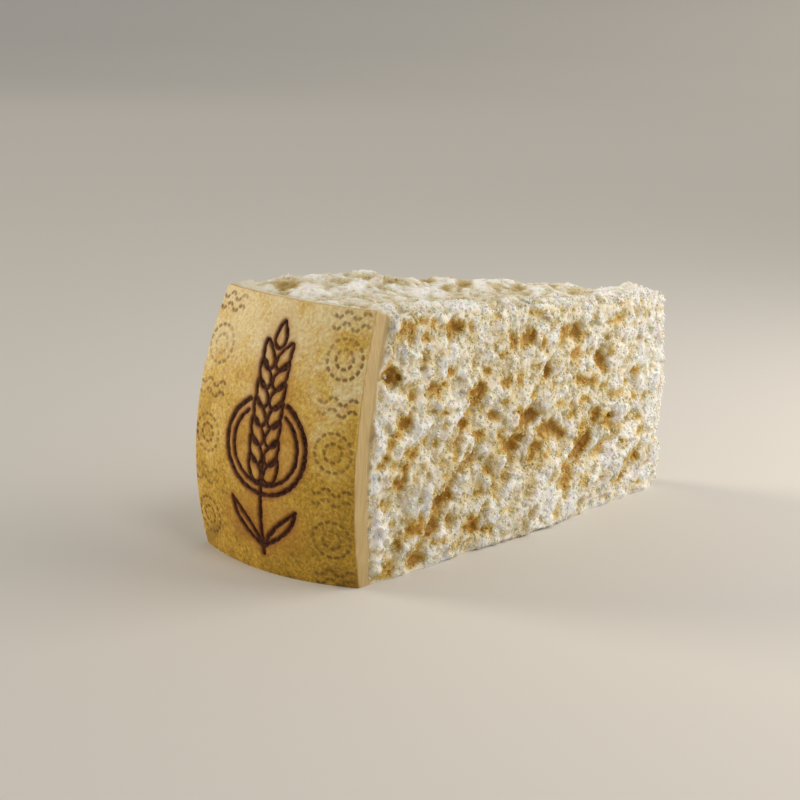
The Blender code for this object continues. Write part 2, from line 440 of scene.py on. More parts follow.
def makeRind():
    skin = extrudedSkin()
    mesh = skin.data
    unit = readPoints(mesh)
    v, w, depth = unit[:, 0] + 0.5, unit[:, 1] + 0.5, unit[:, 2]
    place = np.stack([v * rind["arc"], w * rind["height"]], 1)
    aside = np.minimum(v, 1 - v) * rind["arc"]
    upright = np.minimum(w, 1 - w) * rind["height"]
    corner = ease(aside, 0, rind["rounding"]) * (w > 0.999)
    u = depth * (1 - rind["topNarrow"] * corner) / wedgeShape["faceLength"]
    points = wrapBlock(u, v, w)
    outer = depth < 1e-6
    # the marks are on the outer face only
    shake = np.stack([uneven(points, 2.4 * mm, seed) for seed in (11, 12)], 1)
    burn = strokeField(place + rind["shake"] * shake, burntLines(), 0.5)
    wider, soft = fireMark["scorch"]
    scorch = strokeField(place, [(line, half + wider) for line, half in burntLines()], soft)
    singe = singedPlaces(place)
    worn = np.clip(0.8 + 0.5 * uneven(points, 14 * mm, 8), 0.25, 1)
    pins = strokeField(place, pinDashes(), pinMark["soft"]) * worn
    for field in (burn, scorch, singe, pins):
        field[~outer] = 0
    outward = wrapBlock(u - 0.005, v, w) - points
    outward /= np.linalg.norm(outward, axis=1)[:, None]
    sink = burn * rind["burnDepth"] + pins * rind["pinDepth"]
    sink *= 0.8 + 0.3 * uneven(points, 3 * mm, 5)
    sink += layered(points, ((0.12, 11, 6), (0.06, 3, 7)))
    clear = outer & (aside > rind["clearEdge"]) & (upright > rind["clearEdge"])
    points -= outward * (sink * mm * clear)[:, None]
    followSolid(points, depth)
    writePoints(mesh, points)
    keepField(mesh, "burn", burn)
    keepField(mesh, "scorch", scorch)
    keepField(mesh, "singe", singe)
    keepField(mesh, "pins", pins)
    keepField(mesh, "depth", depth / (rind["depths"][-1] * mm))
    keepField(mesh, "topness", ease(w, 0.98, 1.0) * (depth > 1e-6))
    pickOnly(skin)
    bpy.ops.object.mode_set(mode="EDIT")
    bpy.ops.mesh.select_all(action="SELECT")
    bpy.ops.mesh.normals_make_consistent(inside=False)
    bpy.ops.object.mode_set(mode="OBJECT")
    bpy.ops.object.shade_smooth_by_angle(angle=math.radians(40))
    print("rind skin:", len(mesh.polygons), "faces")
    return skin


# paste: the broken body, torn into chunks and hollows
paste = {
    "voxel": 0.70,  # mm, small squares of the torn surface
    "smoothRounds": 14,  # before the way outwards is read
    "bandDepth": 3.4,  # mm behind the rind's face that the skin covers
    "tornFrom": (7.2, 9.2),  # mm behind the rind's face
    "amberFrom": (8.6, 10.0),  # the same for the hollows' colour
    "bandWander": ((1.0, 4.5, 9), (0.6, 1.9, 10)),  # share, size in mm, seed
    "foot": (0.3, 2.0),  # mm over the table where the tearing sets in
    "chunks": (  # mm: size, step between neighbours, tilt
        (5.2, 0.30, 0.13), (2.4, 0.11, 0.125), (1.25, 0.06, 0.125)),
    "topShare": 0.70,  # of these chunks where the surface is calm
    "hollowLayers": ((1.0, 6.6, 30), (0.62, 3.5, 31), (0.38, 1.8, 32)),
    "smallHollows": ((1.0, 3.6, 53), (0.5, 1.7, 54)),
    "outlines": ((0.5, 3.2, 51), (0.35, 1.6, 52)),  # how the measured marks waver
    "swells": ((1.0, 13, 60), (0.5, 6.5, 61)),
    "ribSides": (7.0, 2.6),  # mm, widths of a rib's gentle and steep side
    "gully": (6, 3.6),  # mm: how far under the rib, half width
    "depthRounds": (4, 24, 90),  # to even out the grit, the pits and the large forms
    "hollowRange": (0.05, 1.35),  # of the unevenness that makes a hollow
    "layered": 0.85,  # squeeze along the level layers
    "hollowDepth": 1.25, "ribHeight": 1.3, "crestHeight": 1.4, "swellHeight": 0.9,  # mm
    "bandSink": 0.22,  # mm, under the rind's skin
    "softRounds": 8,  # by which the amber fades into the pale curd
}
# measured on the right-hand face from the near rind corner:
# along, up, half length, half width in mm, lean in degrees, strength
faceHollows = (
    (22.5, 109, 3, 4, 0, .8), (28, 108, 3, 3.5, 0, .75), (34.5, 112, 3.5, 1.6, 20, .7),
    (42, 109.5, 3.5, 2.5, 0, .6), (37, 104.5, 2.6, 2.6, 0, .8), (57, 107, 7.5, 2.6, 0, 1),
    (52, 104, 2, 3, 0, .8), (58.5, 113.5, 2.5, 2, 0, .55), (66.5, 112.5, 2, 1.5, 0, .4),
    (84, 108.5, 2.5, 1.5, 0, .6), (35, 98.5, 2, 1.5, 0, .4), (37, 94, 4, 1.5, 0, .45),
    (17, 93, 3.5, 3.5, 0, .95), (15, 89.5, 3, 2, 0, .75), (20.5, 89, 2.5, 3, 0, .85),
    (31.5, 93.5, 2, 1.5, 0, .35), (43.5, 81, 5, 3, 0, .95), (50.5, 81.5, 4, 1.5, 0, .6),
    (31, 79.5, 2.5, 2.5, 0, .75), (54.5, 86.5, 3, 2, -20, .8), (79.5, 84, 3.5, 2.5, 0, .9),
    (75.5, 77, 3, 3, 0, .9), (68.5, 75.5, 4, 2.5, 0, .9), (69, 84.5, 4, 1.3, 75, .4),
    (86, 95.5, 4, 1.5, 20, .5), (85, 93, 2.5, 1.5, 0, .4), (89.5, 89, 2.5, 2, 0, .5),
    (96.5, 94, 2.5, 3.5, 0, .8), (93.5, 76.5, 4, 2.5, 0, .7), (75.5, 67, 2, 2, 0, .5),
    (49.5, 69.5, 2.5, 2, 0, .6), (25.5, 69, 4.5, 3.5, -30, 1), (22, 65, 3, 3, 0, .8),
    (18.5, 62, 2.5, 3.5, 0, .75), (14.5, 55.5, 3, 2.2, 30, .7), (63.5, 62.5, 3.5, 2, 0, .65),
    (52, 63.5, 2, 1.5, 0, .5), (84.5, 62, 4.5, 2, -25, .8), (93.5, 67.5, 4, 1.5, 0, .55),
    (31, 55, 3.5, 2.8, -40, .75), (11.5, 52.5, 3.5, 2, 0, .7), (20, 51, 2.5, 2.5, 0, .6),
    (27.5, 48, 3, 3, 0, .75), (24.5, 42.5, 5.5, 3, 0, 1), (35, 42.5, 3, 2, 0, .55),
    (42.5, 43, 2.5, 1.5, 80, .5), (39.5, 47, 3, 2.2, 80, .45), (45, 56, 2.5, 2, 0, .65),
    (38, 58.5, 3, 1.5, 0, .4), (50.5, 45.5, 2, 2, 0, .4), (53.5, 40, 3, 2, 0, .75),
    (66.5, 47, 3, 1.5, 85, .5), (76.5, 43.5, 2.5, 1.5, 0, .4), (75.5, 54.5, 3, 2.5, 0, .8),
    (95.5, 46.5, 6, 4.5, 0, .9), (91, 53.5, 3, 2.5, 0, .7), (82, 37, 3.5, 2.5, 0, .7),
    (86.5, 31.5, 4, 2, 80, .6), (76.5, 27.5, 5, 1.5, 10, .5), (46.5, 34, 4, 2, 80, .6),
    (57, 30, 3, 2.5, 0, .85), (49, 29, 3.5, 2.5, 0, .75), (58, 34, 2, 2, 0, .5),
    (38, 31.5, 3, 2, 0, .6), (15, 35, 4, 2.5, 0, .5), (34.5, 19.5, 6, 4, 10, 1),
    (30, 24, 2.5, 2, 0, .6), (44.5, 15.5, 4, 3, 0, .65), (28.5, 17, 2.5, 2.5, 0, .7),
    (24.5, 14, 3, 3, 0, .7), (56.5, 20.5, 2, 2, 0, .5), (73, 12.5, 3.5, 4, 0, 1),
    (85, 8, 4.5, 2, 0, .65), (82.5, 20, 2, 2, 0, .5), (96, 14, 3.5, 1.5, 0, .5),
    (37.5, 4.5, 4.5, 2.5, 0, .9), (47.5, 10, 3, 2, 0, .5), (54.5, 9, 4, 1.5, 0, .5),
    (62.5, 5, 5, 2.5, 0, .6), (13.5, 13.5, 2.5, 2, 0, .5), (19.5, 7, 4, 2.5, 0, .7),
    (17, 2.5, 4.5, 2, 0, .8), (107, 95.5, 6, 3.5, -5, .9), (118.5, 91.5, 2.6, 3, 0, .8),
    (121.5, 87.5, 4, 1.3, 85, .45), (113.5, 106, 5, 1.5, 0, .5), (106.5, 107.5, 2.5, 2, 0, .4),
    (132, 104.5, 3, 2, 0, .4), (135, 94.5, 4, 2.5, 0, .95), (134, 92, 3, 2, 90, .6),
    (143, 93, 4, 3, 0, 1), (143.5, 83.5, 4, 4, 0, .95), (121.5, 78, 5, 2.2, 88, .95),
    (115.5, 81, 5, 1.5, 0, .5), (102.5, 75, 3, 3, 0, .85), (128.5, 69.5, 2.5, 1.8, 90, .65),
    (150.5, 68, 5, 2.5, 0, .7), (160.5, 66.5, 3, 3.5, 0, .8), (168, 63, 3, 2.5, 0, .55),
    (156.5, 83.5, 2.5, 1.5, 30, .6), (164, 76.5, 4, 3, -45, 1), (168.5, 71.5, 4, 2.5, 0, .9),
    (171.5, 80.5, 4, 2.5, 0, .55), (179.5, 95.5, 3, 1.5, 0, .6), (171.5, 94.5, 2.5, 2, 0, .6),
    (158.5, 99, 3, 2, 0, .4), (146, 107, 2, 2, 0, .4), (178.5, 103.5, 4, 1.5, 0, .45),
    (200.5, 96, 4, 1.8, -60, .6), (196, 67.5, 4.5, 2.5, 0, .7), (192.5, 79.5, 4, 1.2, 0, .4),
    (188.5, 73.5, 2, 2, 0, .4), (205.5, 74, 2, 1.5, 0, .4), (153.5, 58, 5.5, 2, 0, .6),
    (135, 59.5, 4, 2, 0, .55), (114, 67, 3, 2.5, 80, .55), (179.5, 57, 4, 2.5, 0, .5),
    (195, 53.5, 5, 1.6, 0, .6), (204.5, 52.5, 4, 2, 0, .65), (109.5, 57.5, 7, 3.5, 10, .95),
    (104, 61.5, 2.5, 2.5, 0, .75), (146, 52, 5, 2, 0, .5), (124, 49, 7, 5, 0, 1),
    (135.5, 44.5, 6, 3, -20, .85), (117, 42.5, 4, 3, 0, .8), (114.5, 36.5, 3, 3.5, 0, .75),
    (119.5, 31, 4, 2, 0, .45), (126, 37, 3, 2.5, 0, .65), (135, 34, 2.5, 2, 0, .45),
    (152.5, 44, 5, 2.5, 60, .65), (154.5, 37, 6, 4, 15, .85), (148, 33.5, 4, 3, 70, .6),
    (163, 48.5, 3.5, 4.5, 0, .85), (172.5, 45, 4.5, 4, 0, 1), (181, 42, 4, 2, 20, .5),
    (170, 36, 5, 2, 45, .45), (188, 30.5, 3, 3, 0, .6), (203.5, 33, 4.5, 2.5, 0, .7),
    (201, 41.5, 3, 2, 0, .5), (213, 22.5, 3, 2, 30, .45), (201, 19.5, 3, 3, 0, .45),
    (132.5, 22.5, 3, 3, 0, .6), (141, 27, 3.5, 2.5, 0, .6), (143.5, 18, 5, 3, 55, .7),
    (157.5, 17, 3.5, 3, 0, .55), (115.5, 22, 4, 2.5, 75, .5), (136, 5, 4, 2.5, 80, .45),
    (174.5, 17, 4, 3, 0, .4), (204.5, 5, 3, 1.5, 0, .65), (210.5, 14.5, 3, 2, 0, .4),
    # the last four are long streaks on steep facets: sunk a little and tinted with painted shade
    (59.5, 48, 8, 1.8, 55, .5), (150, 41, 9, 2, 62, .5), (175, 38, 8, 1.6, 40, .4),
    (88, 49.5, 10, 2, 62, .5))
topHollows = (  # the same on the top: along, across
    (28, 80, 13, 5, 43, 1), (59, 75, 10, 3, 44, .5), (86, 87, 10, 4.5, 35, .6),
    (88, 73, 11, 4, 40, .6), (113, 71, 14, 3.5, 40, .95), (101, 47, 11, 3.5, 39, .65),
    (118, 51, 15, 3.5, 39, 1), (134, 43, 10, 2.5, 37, .65), (140, 35, 12, 3, 36, .85),
    (99, 14, 10, 4.5, 32, .55), (164, 32, 12, 2.5, 36, .75), (78, 36, 10, 1.5, 42, .5),
    (161, 17, 10, 2.5, 34, .55), (170, 11, 7, 3, 21, .4))
topCrests = (  # and its swollen places
    (57, 63, 17, 4.5, 43, 1), (19, 59, 15, 4, 46, .7), (81, 42, 17, 6.5, 37, 1),
    (133, 54, 19, 3, 40, .8), (142, 24, 19, 3.5, 37, .8), (154, 53, 8, 3, 34, .7),
    (188, 20, 17, 6, 30, .7), (203, 6, 17, 5, 30, .8))
# the crests are painted paler: partly the white crumbly curd, partly painted light where the
# swellings face the light
faceCrests = (  # pale swollen places on the face
    (55, 96, 5, 2.5, 85, .8), (48, 86, 4, 3, 60, .6), (9, 70, 6, 2.5, 90, .9),
    (12, 62, 6, 3, 90, .8), (9, 45, 8, 2, 90, .5), (13.5, 20.5, 8, 5, 80, .9),
    (12, 30, 6, 3, 90, .6), (36.5, 64.5, 4, 3, 0, .6), (43, 31, 4, 3, 80, .5),
    (73.5, 19.5, 4, 3, 0, .5), (126, 14, 10, 8, 60, 1), (146.5, 6, 6, 5, 0, .8),
    (118, 5, 6, 4, 0, .6), (177, 26, 8, 5, 80, .9), (184.5, 46, 5, 4, 45, 1),
    (209, 10, 8, 4, 0, .9), (184.5, 6, 6, 3, 0, .6), (205, 50, 62, 26, 88, .3),
    (167, 17, 6, 2, 65, .6), (215, 60, 25, 4, 88, .5), (195, 40, 6, 3, 70, .6),
    (100, 25, 5, 3, 50, .4))
faceRibs = (  # crest lines rising to the right: foot, head
    (84, 30, 104, 60), (132, 22, 156, 47), (163, 34, 194, 52), (34, 30, 69, 53), (51, 56, 69, 79),
    (28, 8, 50, 36), (110, 8, 128, 30), (178, 12, 200, 30))


def patchField(places, marks, wander):
    # strongest of the leaning oval marks at each place, in mm
    field = np.zeros(len(places))
    for a, b, half, width, lean, strength in marks:
        near = np.where((np.abs(places - (a, b)) < 2.4 * max(half, width)).all(1))[0]
        away = places[near] - (a, b)
        c, s = math.cos(math.radians(lean)), math.sin(math.radians(lean))
        along = (away[:, 0] * c + away[:, 1] * s) / half
        aside = (away[:, 1] * c - away[:, 0] * s) / width
        apart = np.hypot(along, aside) * (1 + wander[near])
        field[near] = np.maximum(field[near], strength * (1 - ease(apart, 0.1, 1.75)))
    return field


def ribField(places, wander):
    # each rib is gentle on its upper side and steep on its lower one, over a gully
    field = np.zeros(len(places))
    under, half = paste["gully"]
    for a0, b0, a1, b1 in faceRibs:
        run = np.array([a1 - a0, b1 - b0], float)
        length = np.hypot(*run)
        run /= length
        away = places - (a0, b0)
        step = away @ run
        aside = away[:, 0] * run[1] - away[:, 1] * run[0] + 2.5 * wander
        fade = ease(step, -8, 5) * (1 - ease(step, length - 5, length + 8))
        width = np.where(aside < 0, *paste["ribSides"])
        field += fade * (np.exp(-(aside / width) ** 2) - np.exp(-((aside - under) / half) ** 2))
    return field


def remeshSolid():
    # a copy of the solid, its surface made an even net
    mesh = frame["nodes"]["wedge"].data.copy()
    body = bpy.data.objects.new("pasteBody", mesh)
    bpy.context.scene.collection.objects.link(body)
    pickOnly(body)
    bpy.ops.object.mode_set(mode="EDIT")
    bpy.ops.mesh.select_all(action="SELECT")
    bpy.ops.mesh.remove_doubles(threshold=1e-6)
    bpy.ops.object.mode_set(mode="OBJECT")
    mesh.remesh_voxel_size = paste["voxel"] * mm
    bpy.ops.object.voxel_remesh()
    return body


def bandDepths(inset):
    # metres behind the rind's face, stretched on the top, where the scored edge is narrower
    across = np.minimum(inset["right"], inset["left"])
    corner = ease(across, 0, rind["rounding"] * mm) * ease(-inset["top"], -3 * mm, -1 * mm)
    return inset["rind"] / (1 - rind["topNarrow"] * corner)


def tornForm(start, onFace, onTop):
    # hollows where pieces have come away, and swollen crests and ribs between them:
    # measured on the faces that show, made up on the others
    slope = (wedgeShape["tipHeight"] - wedgeShape["rindHeight"]) / wedgeShape["faceLength"]
    faceSpots = seenPlaces(start, (0, 1, 0), 0)[:, (0, 2)]
    topSpots = seenPlaces(start, (-slope, 0, 1), wedgeShape["rindHeight"])[:, (0, 1)]
    wander = layered(start, paste["outlines"])
    swell = layered(start, paste["swells"])
    sink, rise = ease(-swell, 0.1, 0.9), ease(swell, 0.1, 0.9)
    field = layered(start * (paste["layered"], 1, 1), paste["hollowLayers"])
    loose = ease(field, *paste["hollowRange"])
    small = ease(layered(start, paste["smallHollows"]), 0.2, 1.0)
    right = np.maximum(patchField(faceSpots, faceHollows, wander), 0.35 * small)
    broken = np.clip(0.95 + 0.45 * uneven(start, 3.4 * mm, 64), 0.5, 1.2)
    top = patchField(topSpots, topHollows, 0.6 * wander) * broken
    top = np.maximum(top, 0.4 * sink)
    hollow = loose + onFace * (right - loose) + onTop * (top - loose)
    crest = onFace * patchField(faceSpots, faceCrests, wander)
    crest += onTop * np.maximum(patchField(topSpots, topCrests, 0.6 * wander), 0.5 * rise)
    rib = ribField(faceSpots, uneven(start, 9 * mm, 50)) * onFace
    height = rib * paste["ribHeight"] + crest * (paste["crestHeight"] - 0.8 * onTop)
    height += swell * paste["swellHeight"] * (1 + 0.3 * onTop)
    height -= hollow * paste["hollowDepth"] * (1 - 0.15 * onTop)
    # the top has low bumps and fine streaks that run from rind to tip
    height += onTop * uneven(start, 5 * mm, 62) * 0.35
    height += onTop * uneven(start * (0.35, 1, 1), 1.8 * mm, 63) * 0.22
    # the gullies under the ribs are tinted like hollows: painted shade
    return height * mm, hollow + 0.35 * np.clip(-rib, 0, 1), crest


def calmPlaces(inset, onTop):
    # 1 where the surface is smooth: the top away from its front edge, and the skyline
    inward = ease(np.minimum(inset["right"], inset["tip"]), 3 * mm, 14 * mm)
    nearLeft = 1 - ease(inset["left"], 3 * mm, 8 * mm)
    nearTop = 1 - ease(inset["top"], 0.5 * mm, 3 * mm)
    return np.maximum(onTop * inward, nearLeft * nearTop)


def tornChunks(start, calm):
    # torn chunks, each with its own step and tilt
    height = np.zeros(len(start))
    area = len(start) * (paste["voxel"] * mm) ** 2
    for size, step, tilt in paste["chunks"]:
        count = int(area / (size * mm) ** 2)
        centres = start[rng.choice(len(start), count, replace=False)]
        drift = np.stack([uneven(start, size * mm * 0.8, 20 + k) for k in range(3)], 1)
        bent = start + drift * size * mm * 0.25
        which = nearest(bent, centres)
        steps = rng.uniform(-1, 1, count) * step * mm
        tilts = rng.normal(size=(count, 3)) * tilt
        torn = steps[which] + ((bent - centres[which]) * tilts[which]).sum(1)
        height += torn * (1 + (paste["topShare"] - 1) * calm)
    return height


def keepDepths(mesh, moved, edges):
    # how deep each point lies below its surroundings, in mm, at two scales
    fewest, more, most = paste["depthRounds"]
    fine = relax(moved, edges, fewest)
    middle = relax(fine, edges, more)
    writePoints(mesh, relax(middle, edges, most))
    outward = readPoints(mesh, "normal")
    writePoints(mesh, moved)
    # these depths later darken the curd's colour in its recesses: painted shade
    pit = ((middle - moved) * outward).sum(1) / mm
    keepField(mesh, "grit", ((fine - moved) * outward).sum(1) / mm)
    keepField(mesh, "pit", relax(pit, edges, paste["softRounds"]))


def makePaste():
    body = remeshSolid()
    mesh = body.data
    start = readPoints(mesh)
    edges = readEdges(mesh)
    writePoints(mesh, relax(start, edges, paste["smoothRounds"]))
    normals = readPoints(mesh, "normal")
    inset = insetPlaces(start)
    band = bandDepths(inset)
    edge = band / mm + layered(start, paste["bandWander"])
    rough = ease(edge, *paste["tornFrom"]) * ease(inset["foot"] / mm, *paste["foot"])
    onTop = ease(normals[:, 2], 0.45, 0.85)
    onFace = ease(-normals[:, 1], 0.35, 0.7) * (1 - onTop)
    height, hollow, crest = tornForm(start, onFace, onTop)
    calm = calmPlaces(inset, onTop)
    height = (height + tornChunks(start, calm)) * rough
    height -= paste["bandSink"] * mm * (1 - ease(band, 4.8 * mm, 8.0 * mm))
    moved = relax(start + normals * height[:, None], edges, 1, 0.25)
    moved[inset["foot"] < 0.25 * mm, 2] = 0
    moved[:, 2] = np.maximum(moved[:, 2], 0)
    keepDepths(mesh, moved, edges)
    amberAndShade = relax(hollow * ease(edge, *paste["amberFrom"]), edges, paste["softRounds"])
    keepField(mesh, "hollow", 1.12 * amberAndShade)
    keepField(mesh, "crest", crest)
    keepField(mesh, "inset", band / mm)
    keepField(mesh, "calm", calm)
    keepField(mesh, "topness", onTop)
    # the back piece takes the left face, the tip and the foot; unity is 0 at the seam
    front = np.minimum(inset["right"], inset["top"])
    back = np.minimum(np.minimum(inset["left"], inset["tip"]), inset["foot"])
    side = relax(ease(back - front, -1 * mm, 1 * mm), edges, 20)
    keepField(mesh, "unity", np.abs(side - 0.5) * 2)
    print("paste body:", len(mesh.vertices), "points")
    return body, band, side


def splitPaste(body, band, side):
    # two closed pieces that meet along the back edges, so that each stays light;
    # each is closed by a fan to a point inside
    apexPlace = Vector((-0.02, 0.0, 0.055))
    covered = band < paste["bandDepth"] * mm
    pieces = []
    for name, inFront in (("pasteFront", True), ("pasteBack", False)):
        work = bmesh.new()
        work.from_mesh(body.data)
        away = []
        for face in work.faces:
            ids = [v.index for v in face.verts]
            if covered[ids].any() or (side[ids].mean() > 0.5) != inFront:
                away.append(face)
        bmesh.ops.delete(work, geom=away, context="FACES")
        if not inFront:  # the flat underside is one face
            under = [f for f in work.faces if all(v.co.z < 0.02 * mm for v in f.verts)]
            bmesh.ops.dissolve_faces(work, faces=under, use_verts=True)
        rim = [e for e in work.edges if len(e.link_faces) == 1]
        apex = work.verts.new(apexPlace)
        for edge in rim:
            edge.smooth = False
            loop = edge.link_loops[0]
            work.faces.new((loop.link_loop_next.vert, loop.vert, apex))
        bmesh.ops.triangulate(work, faces=[f for f in work.faces if len(f.verts) > 4])
        piece = bpy.data.objects.new(name, bpy.data.meshes.new(name))
        work.to_mesh(piece.data)
        work.free()
        bpy.context.scene.collection.objects.link(piece)
        piece.data.shade_smooth()
        count = sum(len(p.vertices) - 2 for p in piece.data.polygons)
        print(name + ":", count, "triangles")
        pieces.append(piece)
    bpy.data.objects.remove(body)
    return pieces


# crumbs: small broken grains that stand on the torn faces
crumbs = {
    "many": 9000,
    "radius": (0.35, 0.95),  # mm
    "rareness": 0.6,  # of the large ones
    "dents": (0.65, 1.25), "stretch": (0.6, 1.3),
    "stand": (-0.35, 0.25),  # of the radius over the surface
    "rindGap": 8.6, "footGap": 1.2,  # mm without crumbs
    "deepest": 0.7,  # hollow that still has some
    "depthShare": 0.3,  # of the paste's depth colours
}


def makeCrumbs(name, piece, seed):
    draw = np.random.default_rng(seed)
    points = readPoints(piece.data)
    normals = readPoints(piece.data, "normal")
    fields = {field: readField(piece.data, field) for field in (
        "hollow", "inset", "calm", "grit", "pit", "topness", "crest", "unity")}
    keen = (fields["inset"] > crumbs["rindGap"]) & (points[:, 2] > crumbs["footGap"] * mm)
    keen &= fields["hollow"] < crumbs["deepest"]
    chance = keen * (1.2 - fields["hollow"]) * (1 - 0.92 * fields["calm"])
    many = crumbs["many"]
    picks = draw.choice(len(points), many, replace=False, p=chance / chance.sum())
    bpy.ops.object.select_all(action="DESELECT")
    bpy.ops.mesh.primitive_ico_sphere_add(subdivisions=1, radius=1)
    ball = bpy.context.object
    ballPoints = readPoints(ball.data)
    ballFaces = np.array([list(p.vertices) for p in ball.data.polygons])
    bpy.data.objects.remove(ball)
    low, high = crumbs["radius"]
    size = (low + (high - low) * draw.power(crumbs["rareness"], many)) * mm
    shape = ballPoints[None] * draw.uniform(*crumbs["dents"], (many, len(ballPoints), 1))
    shape = shape * draw.uniform(*crumbs["stretch"], (many, 1, 3)) * size[:, None, None]
    spin = np.array([Euler(draw.uniform(0, 6.3, 3)).to_matrix() for _ in range(many)])
    shape = np.einsum("nij,nkj->nki", spin, shape)
    stand = size * draw.uniform(*crumbs["stand"], many)
    spots = points[picks] + normals[picks] * stand[:, None]
    places = (shape + spots[:, None, :]).reshape(-1, 3)
    places[:, 2] = np.maximum(places[:, 2], 0)
    faces = ballFaces[None] + np.arange(many)[:, None, None] * len(ballPoints)
    mesh = bpy.data.meshes.new(name)
    mesh.from_pydata(places.tolist(), [], faces.reshape(-1, 3).tolist())
    for field, values in fields.items():
        share = crumbs["depthShare"] if field in ("grit", "pit") else 1
        keepField(mesh, field, np.repeat(values[picks] * share, len(ballPoints)))
    grains = bpy.data.objects.new(name, mesh)
    bpy.context.scene.collection.objects.link(grains)
    print(name + ":", len(mesh.polygons), "triangles")
    return grains


def pasteMaterial():
    # hard aged curd, broken and not cut: chalky pale crests, waxy amber hollows, a sugary grain
    material, tree, shader = newMaterial("agedHardCurd")
    where = addNode(tree, "TexCoord").outputs["Object"]
    field = {name: addNode(tree, "Attribute", {"attribute_name": name}).outputs["Fac"]
             for name in ("grit", "pit", "hollow", "inset", "topness", "crest", "unity")}
    blotch = addNode(tree, "TexNoise", {
        "Scale": 1 / (4.2 * mm), "Detail": 2.0, "Roughness": 0.40}, {"Vector": where})
    grain = addNode(tree, "TexNoise", {
        "Scale": 1 / (0.85 * mm), "Detail": 3.0, "Roughness": 0.8}, {"Vector": where})
    cloud = addNode(tree, "TexNoise", {
        "Scale": 1 / (13 * mm), "Detail": 2.0}, {"Vector": where})
    # amber in the hollows and pits, and in soft blotches: partly the curd's own waxy colour, partly
    # painted shade that darkens each place by how deep it lies below its surroundings
    # paler on the crests of face and top: partly the white curd, partly painted light
    amberAndShade = field["hollow"]
    for share, source in (
            (0.45, field["pit"]), (0.12, field["grit"]), (0.85, blotch.outputs["Fac"]),
            (0.85, cloud.outputs["Fac"]), (-0.55, field["crest"])):
        amberAndShade = addNode(tree, "Math", {
            "operation": "MULTIPLY_ADD", 1: share}, {0: source, 2: amberAndShade}).outputs[0]
    tone = addNode(tree, "MapRange", {"From Min": 0.60, "From Max": 1.84}, {"Value": amberAndShade})
    faceColour = addNode(tree, "ValToRGB", {"stops": (
        (0.0, "#FCFAF4"), (0.22, "#ECE2CA"), (0.42, "#DBC898"),
        (0.64, "#CCA956"), (0.88, "#AE8126"))}, {"Fac": tone.outputs[0]})
    topTone = addNode(tree, "MapRange", {"From Min": 0.45, "From Max": 1.80}, {"Value": amberAndShade})
    topColour = addNode(tree, "ValToRGB", {"stops": (
        (0.0, "#FAF9F4"), (0.22, "#E7E2D5"), (0.48, "#CCBF98"),
        (0.78, "#BCA570"), (1.0, "#AA8E4E"))}, {"Fac": topTone.outputs[0]})
    colour = addNode(tree, "Mix", {"data_type": "RGBA"}, {
        0: field["topness"], 6: faceColour.outputs[0], 7: topColour.outputs[0]})
    # sugary grain, weaker on the smoother top
    sugar = addNode(tree, "ValToRGB", {"stops": (
        (0.32, "#86806E"), (0.50, "#BCBCBC"), (0.68, "#F4F4F4"))}, {"Fac": grain.outputs["Fac"]})
    sugared = addNode(tree, "Math", {
        "operation": "MULTIPLY_ADD", 1: -0.16, 2: 0.66}, {0: field["topness"]})
    body = addNode(tree, "Mix", {"data_type": "RGBA", "blend_type": "OVERLAY"}, {
        0: sugared.outputs[0], 6: colour.outputs[2], 7: sugar.outputs[0]})
    # beside the rind the paste takes the scored edge's colour, with a ragged limit
    ragged = addNode(tree, "Math", {
        "operation": "MULTIPLY_ADD", 1: 2.4, 2: -1.2}, {0: blotch.outputs["Fac"]})
    ragged = addNode(tree, "Math", {
        "operation": "ADD"}, {0: field["inset"], 1: ragged.outputs[0]})
    banded = addNode(tree, "MapRange", {
        "From Min": 7.7, "From Max": 9.2}, {"Value": ragged.outputs[0]})
    edgeTone = addNode(tree, "Mix", {
        "data_type": "RGBA", 6: linear("#C2A978"), 7: linear("#E2DCC6")}, {0: field["topness"]})
    final = addNode(tree, "Mix", {"data_type": "RGBA"}, {
        0: banded.outputs[0], 6: edgeTone.outputs[2], 7: body.outputs[2]})
    gloss = addNode(tree, "MapRange", {
        "From Min": 0.2, "From Max": 0.9, "To Min": 0.62, "To Max": 0.33},
        {"Value": tone.outputs[0]})
    bump = addNode(tree, "Bump", {
        "Strength": 0.8, "Distance": 0.4 * mm}, {"Height": grain.outputs["Fac"]})
    # light goes a little way into the curd, but not across the seam of its two pieces
    glow = addNode(tree, "MapRange", {
        "From Min": 0.55, "From Max": 0.98, "To Max": 0.55}, {"Value": field["unity"]})
    tree.links.new(final.outputs[2], shader.inputs["Base Color"])
    tree.links.new(gloss.outputs[0], shader.inputs["Roughness"])
    tree.links.new(bump.outputs[0], shader.inputs["Normal"])
    tree.links.new(glow.outputs[0], shader.inputs["Subsurface Weight"])
    shader.inputs["IOR"].default_value = 1.46
    shader.inputs["Subsurface Radius"].default_value = (1.0, 0.64, 0.28)
    shader.inputs["Subsurface Scale"].default_value = 2.2 * mm
    return material


